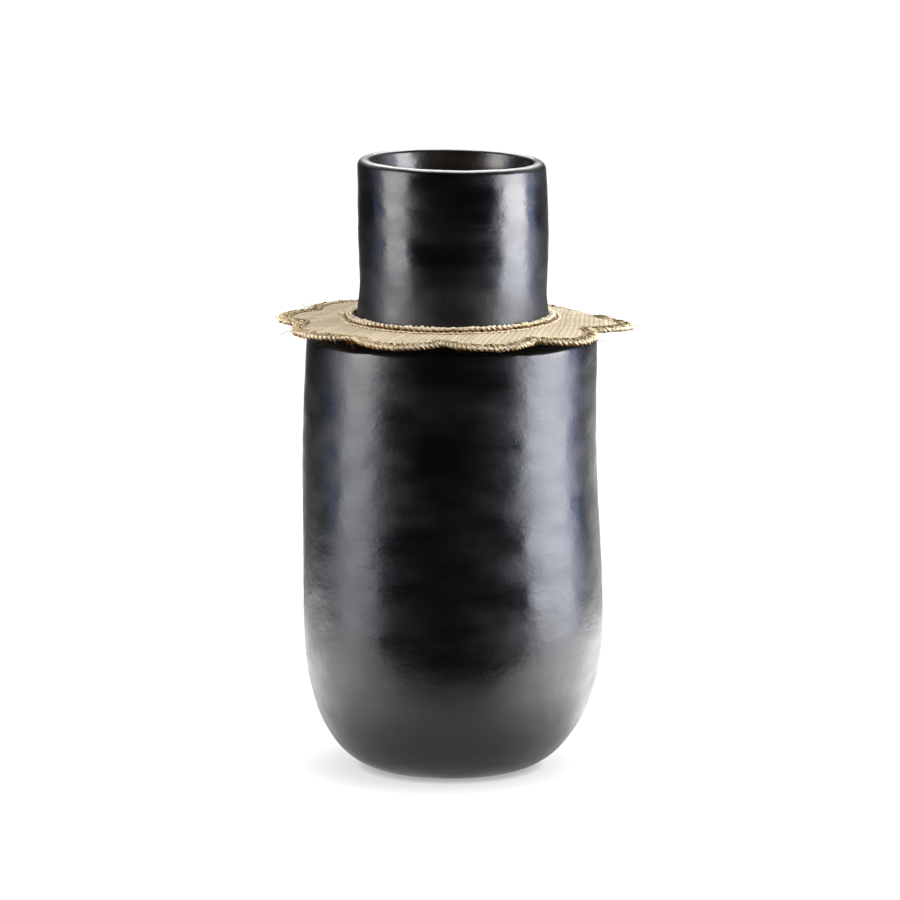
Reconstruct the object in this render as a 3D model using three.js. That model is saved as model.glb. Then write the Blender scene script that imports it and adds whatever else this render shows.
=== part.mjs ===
// A tall burnished clay vase with a loose plant-fibre collar lying round its neck.
// Millimetres, +Z up. The origin is the middle of the flat foot, and -Y is the front.
import * as THREE from 'three';

// ---- the vase: one hand-built shell ----
const vaseHeight = 460;        // foot to the crown of the rim
const footRadius = 46;         // flat part that it stands on
const bellyRadius = 112.5;     // widest part of the body
const bellyHeight = 116;       // height of that widest part
const bellyFullness = 2.2;     // 2 is an ellipse, more is squarer
const creaseRadius = 108.5;    // edge where the body turns into the shoulder
const creaseHeight = 328;
const creaseRounding = 4;
const shoulderRise = 11.5;     // crease up to the foot of the neck
const neckRadius = 70.3;
const neckRootRounding = 2.5;  // hollow corner between shoulder and neck
const neckSwell = 0.9;         // slight outward swelling of the hand-drawn neck
const swellBelowRim = 45;
const swellReach = 45;
const lipHeight = 3.4;         // height of the rounded lip above the straight wall

const bodyWall = 8;
const neckWall = 9.4;
const floorThickness = 10;
const innerRounding = 7;       // inner corners, smoothed by hand while wet

// ---- the collar: a woven disc with two crocheted edgings ----
const neckClearance = 1.6;     // round the widest part of the neck
const seatGap = 0.3;           // between the collar and what it touches
const seamGap = 0.3;           // between the sewn pieces
const clothThickness = 2.2;
const clothWidth = 32;         // radial width of the woven ring at a valley between two scallops
const neckEdgingWidth = 10;    // how far the inner crochet lies over the cloth
const neckEdgingBind = 2.6;    // its part that wraps the cut edge
const neckEdgingRise = 3.4;    // how far it stands above the cloth
const scallopDepth = 17;       // how far a lobe stands out beyond the valleys
const scallopValleys = [-79, -38, -3, 32, 63, 99, 136, 173, 209, 246]; // degrees from the front
const scallopBand = 8.5;       // outer crochet, all along the scalloped edge
const scallopThickness = 2.6;
const collarDroop = 0.075;     // fall per millimetre of radius

const lathePanels = 56;
const ringPanels = 160;

const darkClay = new THREE.MeshStandardMaterial({ color: 0x17171a, roughness: 0.32, metalness: 0 });
const naturalFibre = new THREE.MeshStandardMaterial({ color: 0xcfc2a8, roughness: 0.9, metalness: 0 });
const bleachedYarn = new THREE.MeshStandardMaterial({ color: 0xded4bf, roughness: 0.9, metalness: 0 });

const point = (radius, height) => new THREE.Vector2(radius, height);

// Points along the arc that rounds the corner between two straight stretches.
function roundedCorner(before, corner, after, radius, steps) {
  const towardsBefore = before.clone().sub(corner).normalize();
  const towardsAfter = after.clone().sub(corner).normalize();
  const halfAngle = Math.acos(towardsBefore.dot(towardsAfter)) / 2;
  const setback = radius / Math.tan(halfAngle);
  const start = corner.clone().addScaledVector(towardsBefore, setback);
  const end = corner.clone().addScaledVector(towardsAfter, setback);
  const bisector = towardsBefore.clone().add(towardsAfter).normalize();
  const centre = corner.clone().addScaledVector(bisector, radius / Math.sin(halfAngle));
  const startAngle = start.clone().sub(centre).angle();
  let sweep = end.clone().sub(centre).angle() - startAngle;
  if (sweep > Math.PI) sweep -= 2 * Math.PI;
  if (sweep < -Math.PI) sweep += 2 * Math.PI;
  const points = [];
  for (let step = 0; step <= steps; step += 1) {
    const angle = startAngle + sweep * step / steps;
    points.push(point(centre.x + radius * Math.cos(angle), centre.y + radius * Math.sin(angle)));
  }
  return points;
}

// The round bottom: a full curve from the flat foot up to the widest part.
function roundBottom(lowRadius, lowHeight, wideRadius, wideHeight, steps) {
  const points = [];
  for (let step = 0; step <= steps; step += 1) {
    const turn = Math.PI / 2 * step / steps;
    const out = Math.sin(turn) ** (2 / bellyFullness);
    const up = 1 - Math.cos(turn) ** (2 / bellyFullness);
    points.push(point(lowRadius + (wideRadius - lowRadius) * out, lowHeight + (wideHeight - lowHeight) * up));
  }
  return points;
}

// The body draws in very slightly from the belly to the crease.
const bodyRadiusAt = (height) => {
  const climb = (height - bellyHeight) / (creaseHeight - bellyHeight);
  return bellyRadius - (bellyRadius - creaseRadius) * climb ** 2;
};

const swellAt = (height) => {
  const distance = Math.abs(height - (vaseHeight - swellBelowRim)) / swellReach;
  return distance < 1 ? neckSwell * (0.5 + 0.5 * Math.cos(Math.PI * distance)) : 0;
};

const shoulderSlope = shoulderRise / (creaseRadius - neckRadius);
const shoulderHeightAt = (radius) => creaseHeight + (creaseRadius - radius) * shoulderSlope;

function vaseProfile() {
  const upperSteps = 6;
  const outer = [point(0, 0), ...roundBottom(footRadius, 0, bellyRadius, bellyHeight, 14)];
  const creaseStart = creaseHeight - 2 * creaseRounding;
  for (let step = 1; step <= upperSteps; step += 1) {
    const height = bellyHeight + (creaseStart - bellyHeight) * step / upperSteps;
    outer.push(point(bodyRadiusAt(height), height));
  }
  const crease = point(creaseRadius, creaseHeight);
  const neckRoot = point(neckRadius, shoulderHeightAt(neckRadius));
  outer.push(...roundedCorner(outer[outer.length - 1], crease, neckRoot, creaseRounding, 4));
  const neckTop = point(neckRadius, vaseHeight);
  outer.push(...roundedCorner(crease, neckRoot, neckTop, neckRootRounding, 3));

  const lipBase = vaseHeight - lipHeight;
  const neckStart = outer[outer.length - 1].y;
  const neckSteps = 9;
  for (let step = 1; step <= neckSteps; step += 1) {
    const height = neckStart + (lipBase - neckStart) * step / neckSteps;
    outer.push(point(neckRadius + swellAt(height), height));
  }

  const boreRadius = neckRadius - neckWall;
  const lipOuter = outer[outer.length - 1].x;
  const lipMiddle = (lipOuter + boreRadius) / 2;
  const lipHalfWidth = (lipOuter - boreRadius) / 2;
  const lipSteps = 8;
  for (let step = 1; step <= lipSteps; step += 1) {
    const turn = Math.PI * step / lipSteps;
    outer.push(point(lipMiddle + lipHalfWidth * Math.cos(turn), lipBase + lipHeight * Math.sin(turn)));
  }

  const innerShoulderDrop = bodyWall * Math.hypot(1, shoulderSlope);
  const innerBodyRadius = creaseRadius - bodyWall;
  const innerNeckRoot = point(boreRadius, shoulderHeightAt(boreRadius) - innerShoulderDrop);
  const innerCrease = point(innerBodyRadius, shoulderHeightAt(innerBodyRadius) - innerShoulderDrop);
  const innerBelly = point(bellyRadius - bodyWall, bellyHeight);
  const boreTop = outer[outer.length - 1];
  const inner = [
    ...roundedCorner(boreTop, innerNeckRoot, innerCrease, innerRounding, 4),
    ...roundedCorner(innerNeckRoot, innerCrease, innerBelly, innerRounding, 4),
  ];
  const middleHeight = (inner[inner.length - 1].y + bellyHeight) / 2;
  inner.push(point(bodyRadiusAt(middleHeight) - bodyWall, middleHeight));
  inner.push(...roundBottom(footRadius, floorThickness, innerBelly.x, bellyHeight, 10).reverse());
  return [...outer, ...inner, point(0, floorThickness)];
}

function turnedSolid(profile, panels) {
  return new THREE.LatheGeometry(profile, panels).rotateX(Math.PI / 2);
}

// ---- collar geometry, hung from the shoulder beside the neck ----
const holeRadius = neckRadius + neckSwell + neckClearance;
const seatHeight = shoulderHeightAt(holeRadius) + seatGap;
const droopAt = (radius) => -collarDroop * (radius - holeRadius);
const clothInner = holeRadius + neckEdgingBind + seamGap;
const clothValley = clothInner + clothWidth;
const clothTop = seatHeight + clothThickness;

// The inner crochet wraps the cut edge and stands up in a rounded bead over the cloth.
function neckEdgingProfile() {
  const bindOuter = clothInner - seamGap;
  const edgingOuter = holeRadius + neckEdgingWidth;
  const overCloth = clothTop + seamGap;
  const crown = clothTop + neckEdgingRise;
  const beadMiddle = (holeRadius + edgingOuter) / 2;
  const beadRise = crown - overCloth;
  const profile = [
    point(holeRadius, seatHeight),
    point(bindOuter, seatHeight + droopAt(bindOuter)),
    point(bindOuter, overCloth + droopAt(bindOuter)),
    point(edgingOuter, overCloth + droopAt(edgingOuter)),
  ];
  const beadSteps = 6;
  for (let step = 1; step < beadSteps; step += 1) {
    const turn = Math.PI * step / beadSteps;
    const radius = beadMiddle + (edgingOuter - beadMiddle) * Math.cos(turn);
    profile.push(point(radius, overCloth + droopAt(radius) + beadRise * Math.sin(turn)));
  }
  profile.push(point(holeRadius, overCloth), point(holeRadius, seatHeight));
  return profile;
}

// How far a scallop stands out at an angle: nothing in a valley, everything in mid lobe.
function lobeAt(angle) {
  const degrees = THREE.MathUtils.radToDeg(angle);
  const count = scallopValleys.length;
  for (let index = 0; index < count; index += 1) {
    const start = scallopValleys[index];
    const wraps = index === count - 1 ? 360 : 0;
    const end = scallopValleys[(index + 1) % count] + wraps;
    const along = THREE.MathUtils.euclideanModulo(degrees - start, 360);
    if (along < end - start) return 1 - (2 * along / (end - start) - 1) ** 2;
  }
  return 0;
}

// A flat ring whose vertices beyond a radius are pushed out into the scallops, then laid in the droop.
function scallopedRing(inner, outer, low, thickness, scallopsFrom) {
  const section = [
    point(inner, low), point(outer, low),
    point(outer, low + thickness), point(inner, low + thickness),
    point(inner, low),
  ];
  const ring = turnedSolid(section, ringPanels);
  const vertices = ring.getAttribute('position');
  for (let index = 0; index < vertices.count; index += 1) {
    const x = vertices.getX(index);
    const y = vertices.getY(index);
    const radius = Math.hypot(x, y);
    const push = radius > scallopsFrom ? scallopDepth * lobeAt(Math.atan2(x, -y)) : 0;
    const reach = radius + push;
    vertices.setXY(index, x * reach / radius, y * reach / radius);
    vertices.setZ(index, vertices.getZ(index) + droopAt(reach));
  }
  ring.computeVertexNormals();
  return ring;
}

function wovenCloth() {
  const middle = (clothInner + clothValley) / 2;
  return scallopedRing(clothInner, clothValley, seatHeight, clothThickness, middle);
}

function scallopEdging() {
  const inner = clothValley + seamGap;
  const low = seatHeight + (clothThickness - scallopThickness) / 2;
  return scallopedRing(inner, inner + scallopBand, low, scallopThickness, 0);
}

function namedPiece(name, geometry, material) {
  const piece = new THREE.Mesh(geometry, material);
  piece.name = name;
  return piece;
}

const vase = new THREE.Group();
vase.add(namedPiece('clay_vase', turnedSolid(vaseProfile(), lathePanels), darkClay));

const collar = new THREE.Group();
collar.add(namedPiece('collar_cloth', wovenCloth(), naturalFibre));
collar.add(namedPiece('neck_edging', turnedSolid(neckEdgingProfile(), lathePanels), bleachedYarn));
collar.add(namedPiece('scallop_edging', scallopEdging(), bleachedYarn));

const group = new THREE.Group();
group.add(vase, collar);

export default group;
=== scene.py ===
# A burnished black clay vase with a loose collar of woven and crocheted plant fibre round its neck.
import math

import bpy
import numpy as np
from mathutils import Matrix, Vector


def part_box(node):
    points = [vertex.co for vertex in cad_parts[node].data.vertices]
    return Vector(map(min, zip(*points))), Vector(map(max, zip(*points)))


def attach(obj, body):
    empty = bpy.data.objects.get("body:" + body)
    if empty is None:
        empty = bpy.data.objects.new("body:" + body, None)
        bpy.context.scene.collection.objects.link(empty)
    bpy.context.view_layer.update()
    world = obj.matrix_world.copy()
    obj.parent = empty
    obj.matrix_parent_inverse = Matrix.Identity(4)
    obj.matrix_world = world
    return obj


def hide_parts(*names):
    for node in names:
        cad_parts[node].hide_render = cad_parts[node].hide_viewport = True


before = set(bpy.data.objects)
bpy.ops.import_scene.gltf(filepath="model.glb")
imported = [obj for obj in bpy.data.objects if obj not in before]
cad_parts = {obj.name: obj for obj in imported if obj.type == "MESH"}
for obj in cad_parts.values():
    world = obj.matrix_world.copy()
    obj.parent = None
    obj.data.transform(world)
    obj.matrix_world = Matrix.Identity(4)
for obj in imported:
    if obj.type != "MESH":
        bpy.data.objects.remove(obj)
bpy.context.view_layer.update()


# ---- The camera -------------------------------------------------------------------------
# A long lens a little above the rim, so the mouth shows as a thin ellipse and the
# collar is seen nearly edge on.
def put(name, data):
    """Puts a new object in the scene."""
    thing = bpy.data.objects.new(name, data)
    bpy.context.scene.collection.objects.link(thing)
    return thing


vase_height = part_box("clay_vase")[1].z
camera_distance = 4.5
camera_rise = math.radians(9.9)
aim_side, aim_share = -0.0004, 0.5228
aim = Vector((aim_side, 0, aim_share * vase_height))
lens = bpy.data.cameras.new("long_lens")
lens.sensor_width = 36
lens.lens = 240
camera = put("long_lens", lens)
camera.location = aim + camera_distance * Vector((0, -math.cos(camera_rise), math.sin(camera_rise)))
camera.rotation_euler = (math.pi / 2 - camera_rise, 0, 0)
bpy.context.scene.camera = camera


# ---- The clay shell ---------------------------------------------------------------------
# One shell of dark clay: coiled and drawn up by hand over a round bottom, closed in to a
# low shoulder, with a straight neck and a thick soft lip. It is rubbed with a stone while
# leather-hard and blackened in smoke, so nothing on it is quite round or quite even.
mm = 0.001
belly_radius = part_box("clay_vase")[1].x
foot_radius = 46 * mm
belly_height = 116 * mm
belly_fullness = 2.2
body_slack, slack_height, slack_reach = 0.8 * mm, 230 * mm, 112 * mm
crease_radius = 108.5 * mm
crease_height = 328 * mm
crease_rounding = 4 * mm
neck_foot_height = 339.5 * mm
neck_radius = 70.4 * mm
neck_root_rounding = 4 * mm
bore_radius = 60.9 * mm
body_wall = 8 * mm
floor_thickness = 10 * mm
inner_rounding = 9 * mm
lip_outside = (6.0 * mm, 5.5 * mm)
lip_inside_height = 3.0 * mm
mouth_roll = 4.5 * mm
mouth_roll_reach = 12 * mm
neck_waves = (
    (0.8 * mm, vase_height - 45 * mm, 45 * mm), (-0.6 * mm, vase_height - 95 * mm, 24 * mm),
    (1.4 * mm, neck_foot_height, 24 * mm),
)


def round_off(before, corner, after, radius, steps):
    """Points of the arc that rounds a corner of the outline."""
    before, corner, after = (np.array(p, float) for p in (before, corner, after))
    back = (before - corner) / np.linalg.norm(before - corner)
    ahead = (after - corner) / np.linalg.norm(after - corner)
    half = math.acos(float(back @ ahead)) / 2
    middle = (back + ahead) / np.linalg.norm(back + ahead)
    centre = corner + middle * radius / math.sin(half)
    first = corner + back * radius / math.tan(half) - centre
    last = corner + ahead * radius / math.tan(half) - centre
    start = math.atan2(first[1], first[0])
    sweep = (math.atan2(last[1], last[0]) - start + math.pi) % (2 * math.pi) - math.pi
    turns = start + sweep * np.linspace(0, 1, steps + 1)
    return [tuple(centre + radius * np.array((math.cos(t), math.sin(t)))) for t in turns]


def round_bottom(low_radius, low_height, wide_radius, steps):
    """The full curve from the flat of the foot up to the belly."""
    points = []
    for turn in np.linspace(0, math.pi / 2, steps + 1):
        out = max(math.sin(turn), 0) ** (2 / belly_fullness)
        up = 1 - max(math.cos(turn), 0) ** (2 / belly_fullness)
        rise = (belly_height - low_height) * up
        points.append((low_radius + (wide_radius - low_radius) * out, low_height + rise))
    return points


def body_radius(height):
    """The wall of the drum, which narrows slowly towards the shoulder."""
    climb = (height - belly_height) / (crease_height - belly_height)
    slack = body_slack * bump(height, slack_height, slack_reach)
    return belly_radius - (belly_radius - crease_radius) * climb ** 2 - slack


def bump(height, middle, reach):
    """A soft swelling of 1 at its middle that dies away over the reach."""
    distance = min(abs(height - middle) / reach, 1)
    return 0.5 + 0.5 * math.cos(math.pi * distance)


def neck_outline(height):
    """The neck swells under the rim, draws in a little below that and flares at its foot."""
    radius = neck_radius
    for size, middle, reach in neck_waves:
        radius += size * bump(height, middle, reach)
    return radius


def straight(start, end, steps):
    """Points between two corners, without the first."""
    return [tuple(np.array(start) + (np.array(end) - start) * t) for t in np.linspace(0, 1, steps + 1)[1:]]


crease = (crease_radius, crease_height)
neck_root = (neck_outline(neck_foot_height), neck_foot_height)
outline = [(0, 0)] + straight((0, 0), (foot_radius, 0), 5)
outline += round_bottom(foot_radius, 0, belly_radius, 34)[1:]
drum_top = crease_height - 2 * crease_rounding
outline += [(body_radius(h), h) for h in np.linspace(belly_height, drum_top, 40)[1:]]
outline += round_off(outline[-1], crease, neck_root, crease_rounding, 7)
neck_corner = round_off(crease, neck_root, (neck_root[0], vase_height), neck_root_rounding, 6)
outline += straight(outline[-1], neck_corner[0], 9)[:-1] + neck_corner
lip_foot = vase_height - lip_outside[1]
outline += [(neck_outline(h), h) for h in np.linspace(neck_corner[-1][1], lip_foot, 30)[1:]]
lip_crown = outline[-1][0] - lip_outside[0]
for turn in np.linspace(0, math.pi / 2, 11)[1:]:
    out, up = lip_outside[0] * math.cos(turn), lip_outside[1] * math.sin(turn)
    outline.append((lip_crown + out, lip_foot + up))
mouth_top = vase_height - lip_inside_height
for turn in np.linspace(0, math.pi / 2, 7)[1:]:
    inward = (lip_crown - bore_radius) * math.sin(turn)
    outline.append((lip_crown - inward, mouth_top + lip_inside_height * math.cos(turn)))
shoulder_slope = (neck_foot_height - crease_height) / (crease_radius - neck_radius)
inner_drop = body_wall * math.hypot(1, shoulder_slope)
inner_root = (bore_radius, neck_foot_height + (neck_radius - bore_radius) * shoulder_slope - inner_drop)
inner_wide = crease_radius - body_wall
inner_crease = (inner_wide, crease_height + (crease_radius - inner_wide) * shoulder_slope - inner_drop)
inner_belly = (belly_radius - body_wall, belly_height)
inner_corner = round_off((bore_radius, mouth_top), inner_root, inner_crease, inner_rounding, 6)
for drop in np.linspace(0, mouth_top - inner_corner[0][1], 32)[1:-1]:
    roll = mouth_roll * (1 - math.exp(-drop / mouth_roll_reach)) * bump(drop, 0, 90 * mm)
    outline.append((bore_radius - roll, mouth_top - drop))
outline += inner_corner
outline += round_off(inner_root, inner_crease, inner_belly, inner_rounding, 6)
inner_start = outline[-1][1]
outline += [(body_radius(h) - body_wall, h) for h in np.linspace(inner_start, belly_height, 16)[1:-1]]
outline += round_bottom(foot_radius, floor_thickness, inner_belly[0], 16)[::-1]
outline += [(0, floor_thickness)]


families = ("ShaderNode", "GeometryNode", "FunctionNode", "Node")


def add(tree, kind, sockets=(), operation=None, **settings):
    """Adds a node with its settings; sockets gives its inputs values or links them to other nodes.

    The kind is the node's type without its family. A node given as a value stands for its first output."""
    node = tree.nodes.new(next(name + kind for name in families if hasattr(bpy.types, name + kind)))
    if operation:
        node.operation = operation
    for name, value in settings.items():
        setattr(node, name, value)
    for key, value in dict(sockets).items():
        if isinstance(value, bpy.types.Node):
            value = value.outputs[0]
        if isinstance(value, bpy.types.NodeSocket):
            tree.links.new(value, node.inputs[key])
        else:
            node.inputs[key].default_value = value
    return node


def start_tree(name, numbers, whole_numbers=()):
    """A Geometry Nodes tree with named inputs: its geometry, its sizes and its material."""
    tree = bpy.data.node_groups.new(name, "GeometryNodeTree")
    tree.interface.new_socket("Geometry", in_out="INPUT", socket_type="NodeSocketGeometry")
    for label in numbers:
        tree.interface.new_socket(label, in_out="INPUT", socket_type="NodeSocketFloat")
    for label in whole_numbers:
        tree.interface.new_socket(label, in_out="INPUT", socket_type="NodeSocketInt")
    tree.interface.new_socket("Material", in_out="INPUT", socket_type="NodeSocketMaterial")
    tree.interface.new_socket("Geometry", in_out="OUTPUT", socket_type="NodeSocketGeometry")
    return tree, tree.nodes.new("NodeGroupInput").outputs


def end_tree(tree, geometry, material):
    """Every tree ends with real geometry that has its material."""
    real = add(tree, "RealizeInstances", {"Geometry": geometry})
    smooth = add(tree, "SetShadeSmooth", {"Geometry": real})
    clad = add(tree, "SetMaterial", {"Geometry": smooth, "Material": material})
    add(tree, "GroupOutput", {0: clad})
    return tree


def grow(name, seed_data, tree, values):
    """Runs a tree on a mesh or a curve and keeps the result as a plain mesh object."""
    source = put(name + "_source", seed_data)
    modifier = source.modifiers.new("growth", "NODES")
    modifier.node_group = tree
    labels = {s.name: s.identifier for s in tree.interface.items_tree if s.in_out == "INPUT"}
    for label, value in values.items():
        modifier[labels[label]] = value
    bpy.context.view_layer.update()
    graph = bpy.context.evaluated_depsgraph_get()
    mesh = bpy.data.meshes.new_from_object(source.evaluated_get(graph), depsgraph=graph)
    mesh.name = name
    bpy.data.objects.remove(source)
    return put(name, mesh)


# A range that starts and ends gently.
soft = {"interpolation_type": "SMOOTHSTEP"}

# The tree turns the outline round the axis, then lets the hand show: slow waves, small
# dents from the rubbing stone, a slight lean of the walls and a rim that isn't level.
wave_draw, dent_draw = 3.7, 8.1
foot_fade, rim_reach = 14 * mm, 60 * mm
lean_pitch, lean_top, lean_rest = 280 * mm, 390 * mm, 0.45
tree, given = start_tree(
    "hand_built_shell",
    ["Wave", "Wave Length", "Dent", "Dent Length", "Dent Height", "Lean", "Rim Tilt"], ["Panels"],
)
count = add(tree, "AttributeDomainSize", {"Geometry": given["Geometry"]}, component="MESH")
rows = count.outputs["Point Count"]
columns = add(tree, "Math", {0: given["Panels"], 1: 1.0}, "ADD")
grid = add(tree, "MeshGrid", {"Vertices X": columns, "Vertices Y": rows})
index = add(tree, "InputIndex")
share = add(tree, "Math", {0: index, 1: rows}, "DIVIDE")
column = add(tree, "Math", {0: share}, "FLOOR")
row = add(tree, "Math", {0: index, 1: rows}, "MODULO")
place = add(tree, "InputPosition")
sample = add(
    tree, "SampleIndex",
    {"Geometry": given["Geometry"], "Value": place, "Index": row},
    data_type="FLOAT_VECTOR",
)
profile = add(tree, "SeparateXYZ", {0: sample})
turn = add(tree, "Math", {0: column, 1: given["Panels"]}, "DIVIDE")
angle = add(tree, "Math", {0: turn, 1: 2 * math.pi}, "MULTIPLY")
sine = add(tree, "Math", {0: angle}, "SINE")
cosine = add(tree, "Math", {0: angle}, "COSINE")
side = add(tree, "Math", {0: profile.outputs["X"], 1: cosine}, "MULTIPLY")
depth = add(tree, "Math", {0: profile.outputs["X"], 1: sine}, "MULTIPLY")
turned = add(tree, "CombineXYZ", {0: side, 1: depth, 2: profile.outputs["Z"]})
shell = add(tree, "SetPosition", {"Geometry": grid, "Position": turned})
closed = add(tree, "MergeByDistance", {"Geometry": shell, "Distance": 0.02 * mm})

normal = add(tree, "InputNormal")
where = add(tree, "SeparateXYZ", {0: place})
wave_scale = add(tree, "Math", {0: 1.0, 1: given["Wave Length"]}, "DIVIDE")
wave = add(
    tree, "TexNoise",
    {"Vector": place, "W": wave_draw, "Scale": wave_scale, "Detail": 1.0}, noise_dimensions="4D",
)
wave_out = add(tree, "Math", {0: wave, 1: 0.5}, "SUBTRACT")
wave_size = add(tree, "Math", {0: wave_out, 1: given["Wave"]}, "MULTIPLY")
dent_size = add(
    tree, "CombineXYZ", {0: given["Dent Length"], 1: given["Dent Length"], 2: given["Dent Height"]}
)
dent_place = add(tree, "VectorMath", {0: place, 1: dent_size}, "DIVIDE")
dent = add(
    tree, "TexNoise", {"Vector": dent_place, "W": dent_draw, "Scale": 1.0, "Detail": 2.0},
    noise_dimensions="4D",
)
dent_out = add(tree, "Math", {0: dent, 1: 0.5}, "SUBTRACT")
dent_depth = add(tree, "Math", {0: dent_out, 1: given["Dent"]}, "MULTIPLY")
both = add(tree, "Math", {0: wave_size, 1: dent_depth}, "ADD")
off_foot = add(tree, "MapRange", {0: where.outputs["Z"], 1: 0.0, 2: foot_fade}, **soft)
relief = add(tree, "Math", {0: both, 1: off_foot}, "MULTIPLY")
pushed = add(tree, "VectorMath", {0: normal, "Scale": relief}, "SCALE")

lean_turn = add(
    tree, "Math",
    {0: where.outputs["Z"], 1: 2 * math.pi / lean_pitch, 2: -2 * math.pi * lean_top / lean_pitch},
    "MULTIPLY_ADD",
)
lean_share = add(tree, "Math", {0: lean_turn}, "COSINE")
lean_whole = add(tree, "Math", {0: lean_share, 1: lean_rest}, "ADD")
lean = add(tree, "Math", {0: lean_whole, 1: given["Lean"]}, "MULTIPLY")
near_rim = add(
    tree, "MapRange", {0: where.outputs["Z"], 1: vase_height - rim_reach, 2: vase_height}, **soft
)
tilt_side = add(tree, "Math", {0: where.outputs["X"], 1: given["Rim Tilt"]}, "MULTIPLY")
tilt = add(tree, "Math", {0: tilt_side, 1: near_rim}, "MULTIPLY")
leaning = add(tree, "CombineXYZ", {0: lean, 1: 0.0, 2: tilt})
moved = add(tree, "VectorMath", {0: pushed, 1: leaning}, "ADD")
by_hand = add(tree, "SetPosition", {"Geometry": closed, "Offset": moved})
shell_tree = end_tree(tree, by_hand, given["Material"])


def linear(colour):
    """An sRGB hex colour as the linear colour that a shader takes."""
    parts = [int(colour[place:place + 2], 16) / 255 for place in (1, 3, 5)]
    return [p / 12.92 if p <= 0.04045 else ((p + 0.055) / 1.055) ** 2.4 for p in parts] + [1.0]


def start_finish(name):
    """A material and its empty tree."""
    finish = bpy.data.materials.new(name)
    finish.use_nodes = True
    finish.node_tree.nodes.clear()
    return finish, finish.node_tree


def colour_stops(ramp, stops):
    """Gives a colour ramp its stops: positions with their sRGB hex colours."""
    elements = ramp.color_ramp.elements
    while len(elements) < len(stops):
        elements.new(1.0)
    for element, (position, colour) in zip(elements, stops):
        element.position = position
        element.color = linear(colour)


# Smoke-fired, stone-burnished clay: carbon makes it nearly black right through, and the
# rubbing closes the surface to a satin shine. The strokes run round the vase, so the shine
# is broken into fine level streaks, with duller smears and a few pinholes between them.
clay, tree = start_finish("burnished_smoke_fired_clay")
surface = add(tree, "TexCoord").outputs["Object"]
stroke_length, stroke_width = 26 * mm, 1.3 * mm
mottle_size, pin_spacing = 3.2 * mm, 9 * mm
glossiest, dullest = 0.19, 0.35
unreached, unreached_height, body_extra, inside_extra = 0.24, 55 * mm, 0.04, 0.05
mouth_from, mouth_to, mouth_depth = 62.2 * mm, 60.2 * mm, 20 * mm
stroke_map = add(
    tree, "Mapping", {"Vector": surface, "Scale": (1 / stroke_length, 1 / stroke_length, 1 / stroke_width)}
)
strokes = add(tree, "TexNoise", {"Vector": stroke_map, "Scale": 1.0, "Detail": 3.0, "Roughness": 0.6})
smear_length, smear_width = 42 * mm, 19 * mm
smear_map = add(
    tree, "Mapping", {"Vector": surface, "Scale": (1 / smear_length, 1 / smear_length, 1 / smear_width)}
)
smears = add(tree, "TexNoise", {"Vector": smear_map, "Scale": 1.0, "Detail": 1.5, "Roughness": 0.4})
mottle = add(
    tree, "TexNoise", {"Vector": surface, "Scale": 1 / mottle_size, "Detail": 3.0, "Roughness": 0.6}
)
soot = add(tree, "ValToRGB", {"Fac": smears})
colour_stops(soot, [(0.35, "#020304"), (0.7, "#07070a")])
shine = add(tree, "MapRange", {0: smears, 1: 0.3, 2: 0.7, 3: glossiest, 4: dullest})
streak_shine = add(tree, "Math", {0: strokes, 1: 0.1, 2: -0.05}, "MULTIPLY_ADD")
polish = add(tree, "Math", {0: shine, 1: streak_shine}, "ADD")
surface_parts = add(tree, "SeparateXYZ", {0: surface})
# The stone can't reach well into the foot of the neck, nor far inside the mouth.
height = surface_parts.outputs["Z"]
reached_height = neck_foot_height + unreached_height
neck_foot = add(tree, "MapRange", {0: height, 1: reached_height, 2: neck_foot_height, 4: unreached})
body_dullness = add(
    tree, "MapRange", {0: height, 1: crease_height, 2: neck_foot_height, 3: body_extra, 4: unreached}
)
dullness = add(tree, "Math", {0: neck_foot, 1: body_dullness}, "MINIMUM")
outside_roughness = add(tree, "Math", {0: polish, 1: dullness}, "ADD")
level_place = add(tree, "VectorMath", {0: surface, 1: (1, 1, 0)}, "MULTIPLY")
from_axis = add(tree, "VectorMath", {0: level_place}, "LENGTH")
in_mouth = add(tree, "MapRange", {0: from_axis.outputs["Value"], 1: mouth_from, 2: mouth_to})
up_in_neck = add(tree, "MapRange", {0: height, 1: crease_height - mouth_depth, 2: crease_height})
inside = add(tree, "Math", {0: in_mouth, 1: up_in_neck}, "MULTIPLY")
roughness = add(tree, "Math", {0: inside, 1: inside_extra, 2: outside_roughness}, "MULTIPLY_ADD")
clay_colour = add(tree, "Mix", {"Factor": inside, 6: soot, 7: linear("#1f1813")}, data_type="RGBA")
# Each press of the stone leaves a shallow flat the size of a fingertip.
flat_length, flat_height = 9 * mm, 6 * mm
flat_map = add(
    tree, "Mapping", {"Vector": surface, "Scale": (1 / flat_length, 1 / flat_length, 1 / flat_height)}
)
flats = add(tree, "TexNoise", {"Vector": flat_map, "Scale": 1.0, "Detail": 2.0, "Distortion": 0.4})
pins = add(tree, "TexVoronoi", {"Vector": surface, "Scale": 1 / pin_spacing})
pin_holes = add(tree, "MapRange", {0: pins.outputs["Distance"], 1: 0.03, 2: 0.075, 3: -1.0, 4: 0.0})
stroke_depth, mottle_depth, flat_depth, pin_depth = 0.13, 0.8, 1.7, 0.5
fine = add(tree, "Math", {0: strokes, 1: stroke_depth}, "MULTIPLY")
grain = add(tree, "Math", {0: mottle, 1: mottle_depth, 2: fine}, "MULTIPLY_ADD")
pressed = add(tree, "Math", {0: flats, 1: flat_depth, 2: grain}, "MULTIPLY_ADD")
skin = add(tree, "Math", {0: pin_holes, 1: pin_depth, 2: pressed}, "MULTIPLY_ADD")
skin_bump = add(tree, "Bump", {"Strength": 1.0, "Distance": 0.1 * mm, "Height": skin})
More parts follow.
